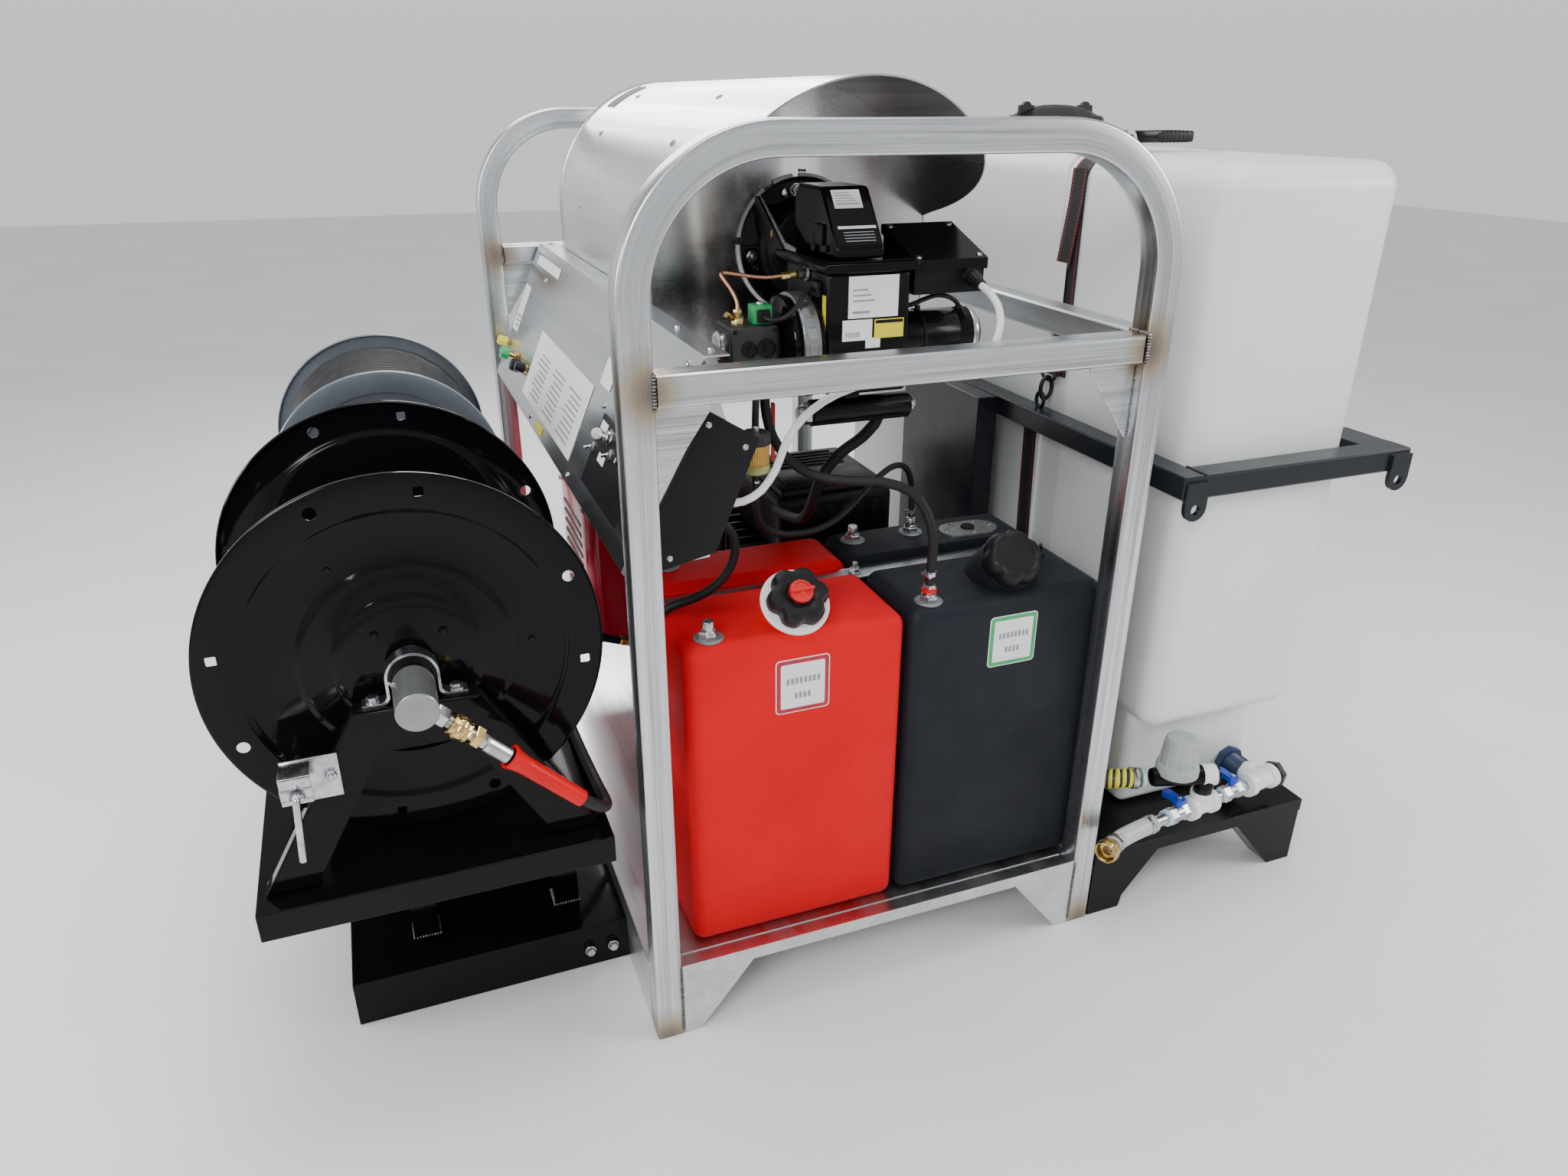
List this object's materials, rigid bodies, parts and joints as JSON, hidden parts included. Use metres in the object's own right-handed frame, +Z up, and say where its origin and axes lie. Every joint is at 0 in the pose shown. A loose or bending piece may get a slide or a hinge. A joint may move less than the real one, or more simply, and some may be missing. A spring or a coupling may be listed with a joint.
{
  "type": "pressure washer",
  "caption": "Skid-mounted hot-water pressure washer: hoop frame with engine, pump, coil heater and burner, fuel tanks, control panel, hose reels on a rack and a tall water tank on a bracket.",
  "frame": {"origin": "under the middle of the whole machine, on the ground that its feet stand on", "axes": "+X to the right along the operator front, +Y back into the machine, +Z up"},
  "size_m": [2.228, 1.7364, 1.67],
  "materials": {
    "aluminium": "brushed, mill finish with weld heat tint",
    "amber": "clear amber bowl",
    "brass": "machined brass",
    "cable_white": "white jacket",
    "cap_black": "moulded black",
    "cap_red": "gloss red",
    "cast_grey": "cast, bare",
    "engine_black": "satin black paint",
    "engine_red": "gloss red paint",
    "gloss_black": "gloss black enamel",
    "grey_hammer": "grey hammered paint",
    "handle_blue": "gloss blue",
    "hose_clear": "clear braided hose",
    "hose_yellow": "yellow hose with black ribs",
    "poly_white": "translucent white roto-moulded",
    "pvc_white": "gloss white moulding",
    "rubber_black": "matt black rubber",
    "satin_black": "satin black paint",
    "stainless": "polished stainless sheet",
    "tank_black": "roto-moulded black",
    "tank_red": "roto-moulded red",
    "valve_green": "gloss green",
    "web_black": "woven polyester strap",
    "zinc": "bright zinc plate"
  },
  "bodies": {
    "machine": {"belt_frame": "satin_black", "burner_housing": "gloss_black", "burner_lead": "cable_white", "burner_motor": "satin_black", "connector_tail": "brass", "console_cover": "satin_black", "control_panel": "aluminium", "diesel_tank": "tank_black", "drive_belt": "rubber_black", "engine": "engine_black", "engine_shroud": "engine_red", "front_cross_bar": "aluminium", "front_hoop": "aluminium", "front_reel_stand": "gloss_black", "fuel_filter": "amber", "fuel_line": "rubber_black", "fuel_pump": "satin_black", "gasoline_tank": "tank_red", "grey_reel_stand": "grey_hammer", "heater_housing": "stainless", "heating_coil": "cast_grey", "high_pressure_pump": "cast_grey", "inlet_hose": "hose_clear", "junction_box": "satin_black", "outlet_manifold": "satin_black", "rear_cross_bar": "aluminium", "rear_hoop": "aluminium", "rear_reel_stand": "gloss_black", "reel_rack": "gloss_black", "reel_swivel": "zinc", "right_side_rail": "aluminium", "skid_base": "aluminium", "suction_hose": "hose_yellow", "supply_hose": "rubber_black", "tank_bracket": "satin_black", "tank_plumbing": "pvc_white", "tank_strap": "stainless", "tie_down_strap": "web_black", "water_tank": "poly_white"},
    "gas_cap": {"gas_cap": "cap_black"},
    "gas_cap_vent": {"gas_cap_vent": "cap_red"},
    "diesel_cap": {"diesel_cap": "cap_black"},
    "igniter_cover": {"igniter_cover": "gloss_black"},
    "key_switch": {"key_switch": "zinc"},
    "burner_switch": {"burner_switch": "satin_black"},
    "pump_switch": {"pump_switch": "satin_black"},
    "thermostat_knob": {"thermostat_knob": "satin_black"},
    "chemical_valve": {"chemical_valve": "valve_green"},
    "engine_pulley": {"engine_pulley": "cast_grey"},
    "pump_pulley": {"pump_pulley": "cast_grey"},
    "black_reel": {"hose_reel_black": "gloss_black"},
    "coupler_sleeve": {"coupler_sleeve": "brass"},
    "lock_pin": {"lock_pin": "zinc"},
    "grey_reel": {"hose_reel_grey": "grey_hammer", "wound_hose": "rubber_black"},
    "tank_lid": {"tank_lid": "cap_black"},
    "ratchet_handle": {"ratchet_handle": "satin_black"},
    "tank_valve_handle": {"tank_valve_handle": "handle_blue"},
    "inlet_valve_handle": {"inlet_valve_handle": "handle_blue"},
    "garden_connector": {"garden_connector": "brass"}
  },
  "joints": [
    {"name": "black_reel_spin", "type": "hinge", "parent": "machine", "child": "black_reel", "pos_m": [-0.807, -0.4669, 0.833], "axis": [0, 1, 0], "continuous": true},
    {"name": "grey_reel_spin", "type": "hinge", "parent": "machine", "child": "grey_reel", "pos_m": [-0.789, 0.1456, 0.92], "axis": [0, 1, 0], "continuous": true},
    {"name": "lock_pin_pull", "type": "slide", "parent": "machine", "child": "lock_pin", "axis": [0, -1, 0], "range_m": [0, 0.02], "stiffness_N_per_m": 500, "springref_m": -0.004},
    {"name": "coupler_sleeve_slide", "type": "slide", "parent": "machine", "child": "coupler_sleeve", "axis": [0.7071, 0, -0.7071], "range_m": [0, 0.008], "stiffness_N_per_m": 1500, "springref_m": -0.002},
    {"name": "gas_cap_turn", "type": "hinge", "parent": "machine", "child": "gas_cap", "pos_m": [-0.156, -0.68272, 0.82438], "axis": [0, -0.65, 0.76], "range_deg": [0, 270]},
    {"name": "gas_cap_vent_turn", "type": "hinge", "parent": "gas_cap", "child": "gas_cap_vent", "pos_m": [-0.156, -0.70515, 0.8506], "axis": [0, -0.65, 0.76], "range_deg": [0, 90]},
    {"name": "diesel_cap_turn", "type": "hinge", "parent": "machine", "child": "diesel_cap", "pos_m": [0.28593, -0.67373, 0.83037], "axis": [-0.1398, -0.6591, 0.739], "range_deg": [0, 270]},
    {"name": "tank_lid_turn", "type": "hinge", "parent": "machine", "child": "tank_lid", "pos_m": [0.819, 0.1106, 1.5555], "axis": [0, 0, 1], "range_deg": [0, 270]},
    {"name": "igniter_cover_lift", "type": "hinge", "parent": "machine", "child": "igniter_cover", "pos_m": [-0.003, -0.3844, 1.386], "axis": [-1, 0, 0], "range_deg": [0, 60]},
    {"name": "key_turn", "type": "hinge", "parent": "machine", "child": "key_switch", "pos_m": [-0.4119, -0.4144, 1.07484], "axis": [-0.9161, 0, 0.401], "range_deg": [0, 90]},
    {"name": "burner_switch_rock", "type": "hinge", "parent": "machine", "child": "burner_switch", "pos_m": [-0.43015, -0.3374, 1.03713], "axis": [0, 1, 0], "range_deg": [0, 10]},
    {"name": "pump_switch_rock", "type": "hinge", "parent": "machine", "child": "pump_switch", "pos_m": [-0.42285, -0.4534, 1.05381], "axis": [0, 1, 0], "range_deg": [0, 10]},
    {"name": "thermostat_turn", "type": "hinge", "parent": "machine", "child": "thermostat_knob", "pos_m": [-0.4119, -0.5494, 1.07484], "axis": [-0.9161, 0, 0.401], "range_deg": [0, 270]},
    {"name": "chemical_valve_turn", "type": "hinge", "parent": "machine", "child": "chemical_valve", "pos_m": [-0.43599, 0.5706, 1.01982], "axis": [-0.9161, 0, 0.401], "range_deg": [0, 180]},
    {"name": "pump_pulley_spin", "type": "hinge", "parent": "machine", "child": "pump_pulley", "pos_m": [-0.191, -0.2424, 0.365], "axis": [0, 1, 0], "continuous": true},
    {"name": "engine_pulley_spin", "type": "hinge", "parent": "machine", "child": "engine_pulley", "pos_m": [0.129, -0.2424, 0.42], "axis": [0, 1, 0], "continuous": true},
    {"name": "ratchet_handle_lift", "type": "hinge", "parent": "machine", "child": "ratchet_handle", "pos_m": [0.719, -0.2849, 1.563], "axis": [0, -1, 0], "range_deg": [0, 150]},
    {"name": "tank_valve_turn", "type": "hinge", "parent": "machine", "child": "tank_valve_handle", "pos_m": [0.85701, -0.77111, 0.2442], "axis": [0, 0, 1], "range_deg": [0, 90]},
    {"name": "inlet_valve_turn", "type": "hinge", "parent": "machine", "child": "inlet_valve_handle", "pos_m": [0.6908, -0.79563, 0.2442], "axis": [0, 0, 1], "range_deg": [0, 90]},
    {"name": "garden_connector_spin", "type": "hinge", "parent": "machine", "child": "garden_connector", "pos_m": [0.48313, -0.84401, 0.22644], "axis": [-0.8866, -0.4606, 0.0437], "continuous": true}
  ],
  "couplings": [
    {"joint": "engine_pulley_spin", "follows": "pump_pulley_spin", "ratio": 1.95}
  ]
}
